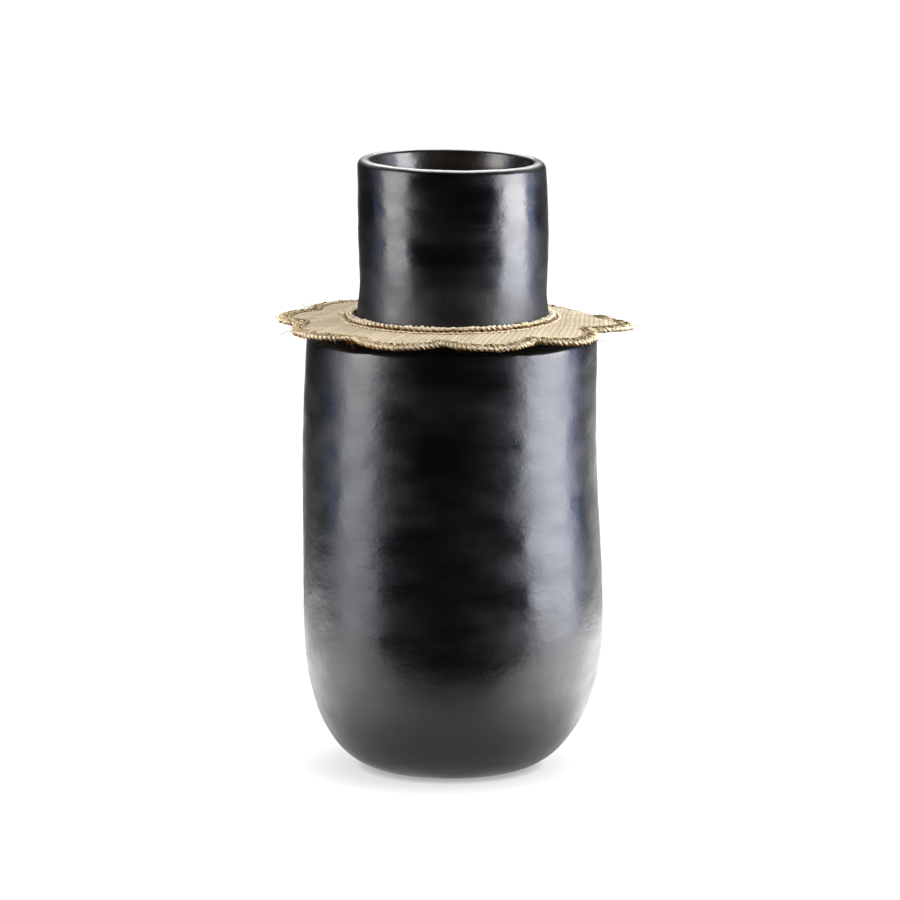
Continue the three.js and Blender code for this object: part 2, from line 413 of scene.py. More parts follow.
clay_shader = add(
    tree, "BsdfPrincipled",
    {"Base Color": clay_colour.outputs[2], "Roughness": roughness, "IOR": 1.55, "Normal": skin_bump},
)
add(tree, "OutputMaterial", {"Surface": clay_shader})

outline_mesh = bpy.data.meshes.new("vase_outline")
outline_mesh.from_pydata([(r, 0, z) for r, z in outline], [(i, i + 1) for i in range(len(outline) - 1)], [])
shell_piece = grow("burnished_shell", outline_mesh, shell_tree, {
    "Wave": 2.2 * mm, "Wave Length": 125 * mm, "Dent": 1.15 * mm, "Dent Length": 24 * mm,
    "Dent Height": 14 * mm, "Lean": 1.65 * mm, "Rim Tilt": -0.019, "Panels": 240, "Material": clay,
})
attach(shell_piece, "vase")
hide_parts("clay_vase")


# ---- The woven cloth --------------------------------------------------------------------
# A ring of plain-woven cloth in coarse hand-spun agave fibre, cut to a wavy outline. It is
# stiff enough to stand out over the shoulder by itself. Its raw edges are inside the crochet.
hole_radius = 72.8 * mm
cloth_inner = 75.4 * mm
valley_radius = 107.0 * mm
scallop_depth = 18.5 * mm
scallop_valleys = (-79, -38, -3, 32, 63, 99, 136, 173, 209, 246)
valley_softness = 2.0
tuck = 4.5 * mm
hem_inner, hem_outer, hem_fade = 79.5 * mm, 6.9 * mm, 1.6 * mm
longer_right = 4.0 * mm
drape_reach = 60 * mm
edge_sink, tilt_sink, tilt_turn = 4.15 * mm, 3.2 * mm, math.radians(136)
fold_sink, fold_turn = 1.3 * mm, math.radians(54)
fallen_sink, fallen_turn, fallen_width = 4.0 * mm, math.radians(122), math.radians(28)
lifted_rise, lifted_turn, lifted_width = 3.2 * mm, math.radians(80), math.radians(20)
cloth_core = 1.1 * mm
rib_pitch = 3.45 * mm
weft_pitch = 2.5 * mm
weave_relief = 0.5 * mm
warp_skew, skew_fade, first_thread = 0.24, 120 * mm, 200
ripple_height, ripples, ripple_turn = 0.25 * mm, 7, 0.8
warp_fullness, warp_lift, weft_fullness, weft_lift = 0.62, 0.3, 0.46, 0.26
half_cloth = 1.1 * mm
cloth_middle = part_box("collar_cloth")[1].z - half_cloth


def scallop(angle):
    """How far the lobes stand out at angles in degrees from the front: 0 in a valley, 1 at a tip."""
    first = scallop_valleys[0]
    turned = (np.asarray(angle, float) - first) % 360 + first
    starts = np.array(scallop_valleys + (first + 360,), float)
    lobe = np.searchsorted(starts, turned, side="right") - 1
    share = (turned - starts[lobe]) / (starts[lobe + 1] - starts[lobe])
    return 1 - (2 * share - 1) ** 2


def edge_radius(angle):
    """The wavy edge of the cloth, a little longer to the right, with softened valleys."""
    angle = np.asarray(angle, float)
    steps = np.linspace(-valley_softness, valley_softness, 9)
    lobes = np.mean([scallop(angle + step) for step in steps], axis=0)
    return valley_radius + lobes * (scallop_depth + longer_right * np.sin(np.radians(angle)))


def drape(points):
    """Lays flat points over the shoulder: the collar sinks outwards, most at the back right."""
    across, deep = points[:, 0], points[:, 1]
    turn = np.arctan2(across, -deep)
    out = np.clip((np.hypot(across, deep) - hole_radius) / drape_reach, 0, 1.2)
    tip = edge_sink + tilt_sink * np.cos(turn - tilt_turn) + fold_sink * np.cos(2 * turn + fold_turn)
    fallen = fallen_sink * np.exp(-((turn - fallen_turn) / fallen_width) ** 2)
    lifted = lifted_rise * np.exp(-((turn - lifted_turn) / lifted_width) ** 2)
    sink = (tip + fallen - lifted) * out ** 2.5
    ripple = ripple_height * out * np.sin(ripples * turn + ripple_turn)
    points[:, 2] += cloth_middle - sink + ripple
    return points


thread_draw = np.random.default_rng(31)
thread_tints = thread_draw.uniform(0, 1, (2, 400))
thread_heights = thread_draw.uniform(-0.16, 0.16, (2, 400))


def weave(across, deep):
    """Height, from 0 to 1, and tint of a plain weave whose ribs run from front to back."""
    wander = 0.12 * np.sin(deep / (17 * mm)) + 0.1 * np.sin(across / (11 * mm) + 2 * deep / (29 * mm))
    skewed = across - warp_skew * deep * (1 - across / skew_fade)
    warp = skewed / rib_pitch + first_thread + wander
    weft = deep / weft_pitch + first_thread + 0.15 * np.sin(across / (13 * mm))
    end, pick = np.floor(warp).astype(int), np.floor(weft).astype(int)
    end_round = np.sqrt(np.clip(1 - (2 * (warp - end) - 1) ** 2, 0, 1))
    pick_round = np.sqrt(np.clip(1 - (2 * (weft - pick) - 1) ** 2, 0, 1))
    lift_end = np.where(end % 2 == 0, 1, -1) * np.cos(math.pi * (weft - 0.5))
    lift_pick = -np.where(pick % 2 == 0, 1, -1) * np.cos(math.pi * (warp - 0.5))
    end_height = warp_fullness * end_round + warp_lift * lift_end + thread_heights[0, end]
    pick_height = weft_fullness * pick_round + weft_lift * lift_pick + thread_heights[1, pick]
    height = np.clip(np.maximum(end_height, pick_height), 0, 1)
    tint = np.where(end_height > pick_height, thread_tints[0, end], thread_tints[1, pick])
    return height, tint


def cloth_layer(angles, rows, side):
    """One face of the cloth as rows of points from the hole outwards; side is 1 or -1."""
    share = np.linspace(0, 1, rows + 1)[:, None]
    radius = cloth_inner + (edge_radius(angles) + tuck - cloth_inner)[None, :] * share
    turn = np.radians(angles)[None, :]
    across, deep = radius * np.sin(turn), -radius * np.cos(turn)
    height, tint = weave(across, deep + (side < 0) * weft_pitch)
    from_hem = np.minimum(radius - hem_inner, radius[-1:] - hem_outer - radius)
    raised = height * np.clip(from_hem / hem_fade, 0, 1)
    level = side * (cloth_core / 2 + weave_relief * raised)
    return np.stack([across, deep, level], axis=2).reshape(-1, 3), height.ravel(), tint.ravel()


columns, top_rows, under_rows = 1200, 60, 18
around = np.arange(columns) * 360 / columns
top, top_height, top_tint = cloth_layer(around, top_rows, 1)
under, under_height, under_tint = cloth_layer(around, under_rows, -1)
here = np.arange(columns)
ahead = (here + 1) % columns
faces = []


def strip(inner, outer):
    """One row of faces between two rings of points."""
    faces.append(np.stack([inner + here, outer + here, outer + ahead, inner + ahead], axis=1))


for row_start in range(0, top_rows * columns, columns):
    strip(row_start, row_start + columns)
under_start = (top_rows + 1) * columns
for row_start in range(under_start, under_start + under_rows * columns, columns):
    faces.append(np.stack([row_start + p for p in (here, ahead, ahead + columns, here + columns)], axis=1))
strip(top_rows * columns, under_start + under_rows * columns)
faces.append(np.stack([here, ahead, under_start + ahead, under_start + here], axis=1))
cloth_mesh = bpy.data.meshes.new("agave_cloth")
cloth_mesh.from_pydata(drape(np.vstack([top, under])).tolist(), [], np.vstack(faces).tolist())
# The weave's height is kept as relief; the cloth's material uses it to paint shade where the threads are
# low.
for label, values in (("relief", (top_height, under_height)), ("tint", (top_tint, under_tint))):
    layer = cloth_mesh.attributes.new(label, "FLOAT", "POINT")
    layer.data.foreach_set("value", np.concatenate(values).astype(np.float32))
cloth_mesh.shade_smooth()

# Unbleached agave fibre, spun by hand: pale straw on the crowns of the threads, with brown painted shade
# where they dive under each other. Every thread is a slightly different straw.
cloth_finish, tree = start_finish("handwoven_agave_fibre")
place = add(tree, "TexCoord").outputs["Object"]
relief = add(tree, "Attribute", attribute_name="relief")
tint = add(tree, "Attribute", attribute_name="tint")
slubs = add(tree, "TexNoise", {"Vector": place, "Scale": 1 / (2.6 * mm), "Detail": 4.0, "Roughness": 0.65})
# Random slubs, plus painted shade: the lower the weave, the browner the straw.
slub_tone_and_painted_shade = add(tree, "Math", {0: slubs, 1: 0.5, 2: relief.outputs["Fac"]}, "MULTIPLY_ADD")
straw = add(tree, "ValToRGB", {"Fac": slub_tone_and_painted_shade})
colour_stops(straw, [(0.35, "#644b28"), (0.62, "#c1ad88"), (1.0, "#ecdfc7")])
pale = add(tree, "MapRange", {0: tint.outputs["Fac"], 3: 0.86, 4: 1.1})
shaded = add(tree, "VectorMath", {0: straw, "Scale": pale}, "SCALE")
fibre_width, fibre_length = 0.5 * mm, 3.0 * mm
fibre_map = add(
    tree, "Mapping", {"Vector": place, "Scale": (1 / fibre_width, 1 / fibre_length, 1 / fibre_width)}
)
fibres = add(tree, "TexNoise", {"Vector": fibre_map, "Scale": 1.0, "Detail": 3.0})
fibre_bump = add(tree, "Bump", {"Strength": 0.8, "Distance": 0.25 * mm, "Height": fibres})
cloth_look = {"Roughness": 0.85, "Specular IOR Level": 0.15, "Sheen Weight": 0.05}
cloth_shader = add(tree, "BsdfPrincipled", {"Base Color": shaded, "Normal": fibre_bump, **cloth_look})
add(tree, "OutputMaterial", {"Surface": cloth_shader})
cloth_mesh.materials.append(cloth_finish)
cloth_piece = put("agave_cloth", cloth_mesh)
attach(cloth_piece, "collar")
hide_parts("collar_cloth")


# ---- The crocheted neck edge ------------------------------------------------------------
# Round the hole the cloth is bound with a row of crochet in two-ply fibre yarn: a chain that
# stands up next to the neck, held down by stitches that wrap the edge of the cloth.
neck_chain_radius = 75.6 * mm
neck_stitch_pitch = 4.3 * mm
neck_stitches = 3 * round(2 * math.pi * neck_chain_radius / neck_stitch_pitch / 3)


ply_groove, ply_mean = 0.24, 0.86
crown_swell, tight_size = 0.5, 0.72


def yarn(tree, path, radius, ply_turns, crown):
    """Sweeps two plies, twisted round each other, along a path, and keeps where each point is on it.

    The yarn is fuller where the crown is 1, and drawn tight where it is 0."""
    ring = add(tree, "CurvePrimitiveCircle", {"Resolution": 6})
    turn = add(tree, "SplineParameter")
    double = add(tree, "Math", {0: turn.outputs["Factor"], 1: 4 * math.pi}, "MULTIPLY")
    lobes = add(tree, "Math", {0: double}, "COSINE")
    fullness = add(tree, "Math", {0: lobes, 1: ply_groove, 2: ply_mean}, "MULTIPLY_ADD")
    size = add(tree, "Math", {0: fullness, 1: radius}, "MULTIPLY")
    spot = add(tree, "InputPosition")
    marked = add(
        tree, "StoreNamedAttribute",
        {"Geometry": ring, "Name": "across", "Value": spot},
        data_type="FLOAT_VECTOR",
    )
    scaled = add(tree, "VectorMath", {0: spot, "Scale": size}, "SCALE")
    plies = add(tree, "SetPosition", {"Geometry": marked, "Position": scaled})
    along = add(tree, "SplineParameter")
    measured = add(
        tree, "StoreNamedAttribute", {"Geometry": path, "Name": "along", "Value": along.outputs["Length"]},
    )
    twist = add(tree, "Math", {0: along.outputs["Factor"], 1: ply_turns}, "MULTIPLY")
    twist_angle = add(tree, "Math", {0: twist, 1: 2 * math.pi}, "MULTIPLY")
    # The crown is also kept for the yarn's material, which paints shade where the crown is low.
    crowned = add(tree, "StoreNamedAttribute", {"Geometry": measured, "Name": "crown", "Value": crown})
    twisted = add(tree, "SetCurveTilt", {"Curve": crowned, "Tilt": twist_angle})
    kept_crown = add(tree, "InputNamedAttribute", {"Name": "crown"})
    full = add(tree, "Math", {0: kept_crown, 1: crown_swell, 2: tight_size}, "MULTIPLY_ADD")
    return add(
        tree, "CurveToMesh", {"Curve": twisted, "Profile Curve": plies, "Scale": full, "Fill Caps": True}
    )


def roughen(tree, geometry, size):
    """Hand work is never even: pushes every part of a row of stitches a little off its place."""
    lump_length = 5 * mm
    spot = add(tree, "InputPosition")
    lumps = add(tree, "TexNoise", {"Vector": spot, "Scale": 1 / lump_length, "Detail": 2.0})
    centred = add(tree, "VectorMath", {0: lumps.outputs["Color"], 1: (0.5, 0.5, 0.5)}, "SUBTRACT")
    push = add(tree, "VectorMath", {0: centred, "Scale": size}, "SCALE")
    return add(tree, "SetPosition", {"Geometry": geometry, "Offset": push})


# A crocheted chain looks like a plait: three strands that sway across the path and rise
# over each other in turn, one crown for each stitch.
tree, given = start_tree(
    "crocheted_chain", ["Yarn Radius", "Sway", "Lift", "Rise", "Ply Turns", "Lumps"], ["Stitches", "Points"]
)
path = add(tree, "MeshToCurve", {"Mesh": given["Geometry"]})
even = add(tree, "ResampleCurve", {"Curve": path, "Count": given["Points"]})
upright = add(tree, "SetCurveNormal", {"Curve": even}, mode="Z_UP")
progress = add(tree, "SplineParameter")
beat = add(tree, "Math", {0: progress.outputs["Factor"], 1: given["Stitches"]}, "MULTIPLY")
sideways = add(tree, "InputNormal")
strands = add(tree, "JoinGeometry")
for strand in range(3):
    phase = add(tree, "Math", {0: beat, 1: float(strand)}, "ADD")
    swing = add(tree, "Math", {0: phase, 1: 2 * math.pi / 3}, "MULTIPLY")
    swing_sine = add(tree, "Math", {0: swing}, "SINE")
    sway = add(tree, "Math", {0: swing_sine, 1: given["Sway"]}, "MULTIPLY")
    double_swing = add(tree, "Math", {0: swing, 1: 2.0}, "MULTIPLY")
    double_sine = add(tree, "Math", {0: double_swing}, "SINE")
    lift = add(tree, "Math", {0: double_sine, 1: given["Lift"], 2: given["Rise"]}, "MULTIPLY_ADD")
    sway_out = add(tree, "VectorMath", {0: sideways, "Scale": sway}, "SCALE")
    lift_up = add(tree, "CombineXYZ", {2: lift})
    away = add(tree, "VectorMath", {0: sway_out, 1: lift_up}, "ADD")
    laid = add(tree, "SetPosition", {"Geometry": upright, "Offset": away})
    # The crown is low where a strand dips under the others: the yarn is thinner there and its material
    # paints shade there.
    crown = add(tree, "Math", {0: double_sine, 1: 0.5, 2: 0.5}, "MULTIPLY_ADD")
    spun = yarn(tree, laid, given["Yarn Radius"], given["Ply Turns"], crown)
    tree.links.new(spun.outputs[0], strands.inputs[0])
chain_tree = end_tree(tree, roughen(tree, strands, given["Lumps"]), given["Material"])

# A wrapping stitch is an open loop that goes round an edge, repeated along the path, each
# one turned and sized a little differently.
least_size, most_size = 0.88, 1.14
crown_slope, side_crown = 0.42, 0.58
tree, given = start_tree(
    "wrapping_stitches",
    ["Yarn Radius", "Middle", "Reach", "Half Height", "Open End", "Ply Turns", "Unevenness", "Lumps"],
    ["Stitches", "Seed"],
)
start_angle = add(tree, "Math", {0: given["Open End"], 1: 0.5}, "MULTIPLY")
sweep = add(tree, "Math", {0: 2 * math.pi, 1: given["Open End"]}, "SUBTRACT")
half_turn = add(tree, "Math", {0: start_angle, 1: math.pi}, "SUBTRACT")
loop = add(tree, "CurveArc", {"Resolution": 9, "Start Angle": half_turn, "Sweep Angle": sweep})
spot = add(tree, "InputPosition")
spot_parts = add(tree, "SeparateXYZ", {0: spot})
out = add(tree, "Math", {0: spot_parts.outputs["X"], 1: given["Reach"], 2: given["Middle"]}, "MULTIPLY_ADD")
up = add(tree, "Math", {0: spot_parts.outputs["Y"], 1: given["Half Height"]}, "MULTIPLY")
stood = add(tree, "CombineXYZ", {0: out, 2: up})
# The crown is low on the lower side of the loop: the yarn is thinner there and its material paints shade
# there.
crown = add(tree, "Math", {0: spot_parts.outputs["Y"], 1: crown_slope, 2: side_crown}, "MULTIPLY_ADD")
standing = add(tree, "SetPosition", {"Geometry": loop, "Position": stood})
wrapped = yarn(tree, standing, given["Yarn Radius"], given["Ply Turns"], crown)
path = add(tree, "MeshToCurve", {"Mesh": given["Geometry"]})
stops = add(tree, "CurveToPoints", {"Curve": path, "Count": given["Stitches"]})
outward = add(tree, "VectorMath", {0: stops.outputs["Tangent"], 1: (0, 0, 1)}, "CROSS_PRODUCT")
stop_place = add(tree, "InputPosition")
radial = add(tree, "VectorMath", {0: stop_place}, "NORMALIZE")
between = add(tree, "VectorMath", {0: outward, 1: radial}, "ADD")
low_draw = add(tree, "Math", {0: given["Unevenness"], 1: -1.0}, "MULTIPLY")
draw = add(tree, "RandomValue", {2: low_draw, 3: given["Unevenness"], "Seed": given["Seed"]})
askew = add(tree, "VectorMath", {0: stops.outputs["Tangent"], "Scale": draw.outputs[1]}, "SCALE")
facing = add(tree, "VectorMath", {0: between, 1: askew}, "ADD")
turned_out = add(tree, "AlignRotationToVector", {"Vector": facing}, axis="X", pivot_axis="Z")
size_draw = add(tree, "RandomValue", {2: least_size, 3: most_size, "Seed": given["Seed"]})
stitches = add(
    tree, "InstanceOnPoints",
    {"Points": stops, "Instance": wrapped, "Rotation": turned_out, "Scale": size_draw.outputs[1]},
)
real_stitches = add(tree, "RealizeInstances", {"Geometry": stitches})
wrap_tree = end_tree(tree, roughen(tree, real_stitches, given["Lumps"]), given["Material"])

# Two-ply agave yarn: the same straw fibre, thicker and softer. Its fibres run along each
# twisted ply and catch the light in fine streaks. Where it dips under other yarn it is painted brown as
# painted shade.
yarn_finish, tree = start_finish("twisted_agave_yarn")
across = add(tree, "Attribute", attribute_name="across")
along = add(tree, "Attribute", attribute_name="along")
streak_length, patch_size = 2.4 * mm, 7 * mm
streaks_round, patch_share, crown_share, crown_shift = 2.6, 0.6, 0.9, -0.54
along_share = add(tree, "Math", {0: along.outputs["Fac"], 1: 1 / streak_length}, "MULTIPLY")
along_yarn = add(tree, "CombineXYZ", {2: along_share})
wound = add(tree, "VectorMath", {0: across.outputs["Vector"], "Scale": streaks_round}, "SCALE")
on_yarn = add(tree, "VectorMath", {0: wound, 1: along_yarn}, "ADD")
streaks = add(tree, "TexNoise", {"Vector": on_yarn, "Scale": 1.0, "Detail": 4.0, "Roughness": 0.6})
place = add(tree, "TexCoord").outputs["Object"]
patches = add(tree, "TexNoise", {"Vector": place, "Scale": 1 / patch_size, "Detail": 2.0})
both = add(tree, "Math", {0: patches, 1: patch_share, 2: streaks}, "MULTIPLY_ADD")
# Painted shade: where the crown is low, in the dips between stitches, the straw turns brown.
crown = add(tree, "Attribute", attribute_name="crown")
crowned = add(tree, "Math", {0: crown.outputs["Fac"], 1: crown_share, 2: crown_shift}, "MULTIPLY_ADD")
straw_tone_and_painted_shade = add(tree, "Math", {0: both, 1: crowned}, "ADD")
straw = add(tree, "ValToRGB", {"Fac": straw_tone_and_painted_shade})
colour_stops(straw, [(0.35, "#85571f"), (0.72, "#dcc69d"), (1.0, "#f8ecd3")])
streak_bump = add(tree, "Bump", {"Strength": 0.9, "Distance": 0.3 * mm, "Height": streaks})
yarn_look = {"Roughness": 0.8, "Specular IOR Level": 0.06, "Sheen Weight": 0.05}
yarn_shader = add(tree, "BsdfPrincipled", {"Base Color": straw, "Normal": streak_bump, **yarn_look})
add(tree, "OutputMaterial", {"Surface": yarn_shader})


def loop_path(name, angles, radii, level):
    """A closed path round the axis, seen from above as it runs towards the right from the front."""
    turns = np.radians(angles)
    points = np.stack([radii * np.sin(turns), -radii * np.cos(turns), np.full(len(turns), level)], axis=1)
    mesh = bpy.data.meshes.new(name)
    edges = [(i, (i + 1) % len(points)) for i in range(len(points))]
    mesh.from_pydata(points.tolist(), edges, [])
    return mesh


def join(name, parts):
    """Makes one piece of several, and lays it on the collar."""
    with bpy.context.temp_override(active_object=parts[0], selected_editable_objects=parts):
        bpy.ops.object.join()
    piece = parts[0]
    piece.name = name
    piece.data.name = name
    points = np.empty(3 * len(piece.data.vertices), np.float32)
    piece.data.vertices.foreach_get("co", points)
    draped = drape(points.reshape(-1, 3).astype(float))
    piece.data.vertices.foreach_set("co", draped.ravel().astype(np.float32))
    piece.data.update()
    return piece


circle = np.arange(0, 360, 1.0)
neck_path = loop_path("neck_chain_path", circle, np.full(360, neck_chain_radius), 0)
neck_chain = grow("neck_chain", neck_path, chain_tree, {
    "Yarn Radius": 1.0 * mm, "Sway": 1.75 * mm, "Lift": 1.1 * mm, "Rise": 3.2 * mm, "Ply Turns": 60.0,
    "Lumps": 2.8 * mm, "Stitches": neck_stitches, "Points": 111 * 8, "Material": yarn_finish,
})
hole_path = loop_path("hole_path", circle, np.full(360, hole_radius), 0.1 * mm)
neck_wraps = grow("neck_wraps", hole_path, wrap_tree, {
    "Yarn Radius": 0.8 * mm, "Middle": 4.6 * mm, "Reach": -3.8 * mm, "Half Height": 1.7 * mm,
    "Open End": math.radians(60), "Ply Turns": 3.0, "Unevenness": 0.5, "Stitches": neck_stitches, "Seed": 3,
    "Lumps": 1.5 * mm, "Material": yarn_finish,
})
seam_back = 8.6 * mm
seam_path = loop_path("seam_path", circle, np.full(360, hole_radius + seam_back), 0)
seam_chain = grow("seam_chain", seam_path, chain_tree, {
    "Yarn Radius": 0.55 * mm, "Sway": 0.6 * mm, "Lift": 0.35 * mm, "Rise": 1.3 * mm, "Ply Turns": 120.0,
    "Lumps": 0.8 * mm, "Stitches": neck_stitches, "Points": neck_stitches * 5, "Material": yarn_finish,
})
neck_edge = join("crocheted_neck_edge", [neck_chain, neck_wraps, seam_chain])
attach(neck_edge, "collar")
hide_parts("neck_edging")


# ---- The crocheted scallops -------------------------------------------------------------
# Round the wavy outside goes a wider row: tall open stitches that stand out from the edge of
# the cloth, with small holes between them, closed by a chain that forms the rim.
scallop_band = 8.5 * mm
rim_half_width = 1.9 * mm
fine_circle = np.arange(0, 360, 0.5)
rim_radii = edge_radius(fine_circle) + scallop_band - rim_half_width
rim_path = loop_path("rim_path", fine_circle, rim_radii, 0)
rim_points = np.array([tuple(v.co) for v in rim_path.vertices])
rim_length = np.linalg.norm(np.roll(rim_points, -1, axis=0) - rim_points, axis=1).sum()
rim_stitch_pitch, post_pitch = 3.7 * mm, 3.1 * mm
rim_stitches = 3 * round(rim_length / rim_stitch_pitch / 3)
rim_chain = grow("rim_chain", rim_path, chain_tree, {
    "Yarn Radius": 0.95 * mm, "Sway": 1.3 * mm, "Lift": 1.0 * mm, "Rise": -0.5 * mm, "Ply Turns": 130.0,
    "Lumps": 1.8 * mm, "Stitches": rim_stitches, "Points": rim_stitches * 6, "Material": yarn_finish,
})
post_path = loop_path("post_path", fine_circle, edge_radius(fine_circle), 0.1 * mm)
posts = grow("scallop_posts", post_path, wrap_tree, {
    "Yarn Radius": 1.1 * mm, "Middle": 2.0 * mm, "Reach": 4.6 * mm, "Half Height": 1.75 * mm,
    "Open End": math.radians(50), "Ply Turns": 3.0, "Unevenness": 0.7, "Lumps": 1.4 * mm,
    "Stitches": round(rim_length / post_pitch), "Seed": 12, "Material": yarn_finish,
})
scallop_edge = join("crocheted_scallops", [rim_chain, posts])
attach(scallop_edge, "collar")
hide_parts("scallop_edging")


# ---- Loose fibre ends -------------------------------------------------------------------
# Agave fibre is wiry, so short hairs stand out of the yarn all round both rows of crochet,
# with a few longer ends where a yarn was joined.
hair_bend, hair_slimness = 1.3, 0.028
tree, given = start_tree("loose_ends", ["Longest", "Back From Edge"], ["Hairs", "Seed"])
bow = add(tree, "CurveArc", {"Resolution": 6, "Start Angle": -math.pi / 2, "Sweep Angle": hair_bend})
rooted = add(tree, "SetPosition", {"Geometry": bow, "Offset": (0, 1, 0)})
thin = add(tree, "CurvePrimitiveCircle", {"Resolution": 3, "Radius": hair_slimness})
hair = add(tree, "CurveToMesh", {"Curve": rooted, "Profile Curve": thin, "Fill Caps": True})
path = add(tree, "MeshToCurve", {"Mesh": given["Geometry"]})
roots = add(tree, "CurveToPoints", {"Curve": path, "Count": given["Hairs"]})
outward = add(tree, "VectorMath", {0: roots.outputs["Tangent"], 1: (0, 0, 1)}, "CROSS_PRODUCT")
back_draw = add(tree, "RandomValue", {2: -1.0, 3: 0.1, "Seed": given["Seed"]})
back = add(tree, "Math", {0: back_draw.outputs[1], 1: given["Back From Edge"]}, "MULTIPLY")
inward = add(tree, "VectorMath", {0: outward, "Scale": back}, "SCALE")
moved_roots = add(tree, "SetPosition", {"Geometry": roots, "Offset": inward})
way_draw = add(
    tree, "RandomValue", {0: (-1, -1, -0.5), 1: (1, 1, 0.7), "Seed": given["Seed"]},
    data_type="FLOAT_VECTOR",
)
way = add(tree, "VectorMath", {0: way_draw, 1: outward}, "ADD")
aimed = add(tree, "AlignRotationToVector", {"Vector": way}, axis="X")
length_draw = add(tree, "RandomValue", {2: 0.0, 3: 1.0, "Seed": given["Seed"]})
seldom_long = add(tree, "Math", {0: length_draw.outputs[1], 1: 5.0}, "POWER")
length_share = add(tree, "Math", {0: seldom_long, 1: 0.75, 2: 0.25}, "MULTIPLY_ADD")
hair_length = add(tree, "Math", {0: length_share, 1: given["Longest"]}, "MULTIPLY")
hairs = add(
    tree, "InstanceOnPoints",
    {"Points": moved_roots, "Instance": hair, "Rotation": aimed, "Scale": hair_length},
)
hair_tree = end_tree(tree, hairs, given["Material"])
hair_path = loop_path("hair_path", fine_circle, rim_radii + rim_half_width, 0.6 * mm)
outer_hairs = grow("outer_hairs", hair_path, hair_tree, {
    "Longest": 7 * mm, "Back From Edge": 9 * mm, "Hairs": 420, "Seed": 5, "Material": yarn_finish,
})
inner_hair_path = loop_path("inner_hair_path", circle, np.full(360, 80 * mm), 3.4 * mm)
inner_hairs = grow("inner_hairs", inner_hair_path, hair_tree, {
    "Longest": 6 * mm, "Back From Edge": 5 * mm, "Hairs": 120, "Seed": 9, "Material": yarn_finish,
})
loose_ends = join("loose_fibre_ends", [outer_hairs, inner_hairs])
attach(loose_ends, "collar")


# ---- The studio -------------------------------------------------------------------------
# A plain white sweep. Tall soft boxes stand to the sides, the right ones brighter, and a weak
# one hangs overhead. The room is dark on the camera's side, so that the clay stays black.
floor_reach = 60.0
floor_mesh = bpy.data.meshes.new("sweep")
corners = [(-floor_reach, -floor_reach, 0), (floor_reach, -floor_reach, 0)]
corners += [(floor_reach, floor_reach, 0), (-floor_reach, floor_reach, 0)]
floor_mesh.from_pydata(corners, [], [(0, 1, 2, 3)])
floor_piece = put("sweep", floor_mesh)


def surround(tree, direction):
    """How bright the sweep is in a level direction: white behind, more so to the right, and dim beside."""
    parts = add(tree, "SeparateXYZ", {0: direction})
    rightwards = add(tree, "Math", {0: parts.outputs["X"], 1: 0.25, 2: parts.outputs["Y"]}, "MULTIPLY_ADD")
    behind = add(tree, "MapRange", {0: rightwards, 1: 0.7, 2: 0.88, 3: 0.0, 4: 1.2}, **soft)
    beside = add(tree, "MapRange", {0: parts.outputs["Y"], 1: 0.15, 2: 0.5, 3: 0.02, 4: 0.2}, **soft)
    return add(tree, "Math", {0: behind, 1: beside}, "MAXIMUM")


# Seen by the camera the sweep is white, with a painted contact shadow where the foot nearly touches it and
# a broader painted soft shadow round the foot. Seen in the clay it glows as a painted pool of light under
# the vase, brighter towards the side boxes and with painted shade close to the foot, that fades towards the
# camera.
sweep, tree = start_finish("white_sweep")
spot = add(tree, "TexCoord").outputs["Object"]
apart = add(tree, "SeparateXYZ", {0: spot})
seen = add(tree, "LightPath")
contact_reach, shadow_centre = 9 * mm, (-10 * mm, -4 * mm, 0)
crevice = add(tree, "AmbientOcclusion", {"Distance": contact_reach}, samples=8)
contact = add(tree, "MapRange", {0: crevice.outputs["AO"], 1: 0.0, 2: 0.5, 3: 0.5, 4: 1.0})
shadow_middle = add(tree, "VectorMath", {0: spot, 1: shadow_centre}, "DISTANCE")
soft_shadow = add(
    tree, "MapRange", {0: shadow_middle.outputs["Value"], 1: 0.055, 2: 0.13, 3: 0.74, 4: 1.12}, **soft
)
painted_floor_shadow = add(tree, "Math", {0: contact, 1: soft_shadow}, "MULTIPLY")
from_middle = add(tree, "VectorMath", {0: spot}, "LENGTH").outputs["Value"]
pool = add(tree, "MapRange", {0: from_middle, 1: 0.55, 2: 0.85, 3: 1.0, 4: 0.0}, **soft)
# Painted shade on the glowing pool close to the foot.
painted_shade_by_foot = add(tree, "MapRange", {0: from_middle, 1: 0.08, 2: 0.2, 3: 0.45, 4: 1.0})
fade = add(tree, "MapRange", {0: apart.outputs["Y"], 1: -0.36, 2: -0.12}, **soft)
# Painted light: the pool glows brighter on the sides where the soft boxes stand.
left_glow = add(tree, "MapRange", {0: apart.outputs["X"], 1: -0.03, 2: -0.3, 3: 0.0, 4: 1.7}, **soft)
right_glow = add(tree, "MapRange", {0: apart.outputs["X"], 1: 0.03, 2: 0.3, 3: 0.0, 4: 3.8}, **soft)
both_glows = add(tree, "Math", {0: left_glow, 1: right_glow}, "ADD")
heading = add(tree, "VectorMath", {0: spot}, "NORMALIZE")
heading_parts = add(tree, "SeparateXYZ", {0: heading})
beside_vase = add(
    tree, "MapRange", {0: heading_parts.outputs["Y"], 1: 0.3, 2: 0.95, 3: 1.0, 4: 0.3}, **soft
)
side_glow = add(tree, "Math", {0: both_glows, 1: beside_vase}, "MULTIPLY")
floor_level = add(tree, "Math", {0: side_glow, 1: 1.2}, "ADD")
near = add(tree, "Math", {0: pool, 1: painted_shade_by_foot}, "MULTIPLY")
lit = add(tree, "Math", {0: near, 1: fade}, "MULTIPLY")
lit_level = add(tree, "Math", {0: lit, 1: floor_level}, "MULTIPLY")
on_cloth = add(tree, "MapRange", {0: seen.outputs["Is Diffuse Ray"], 3: 1.0, 4: 0.1})
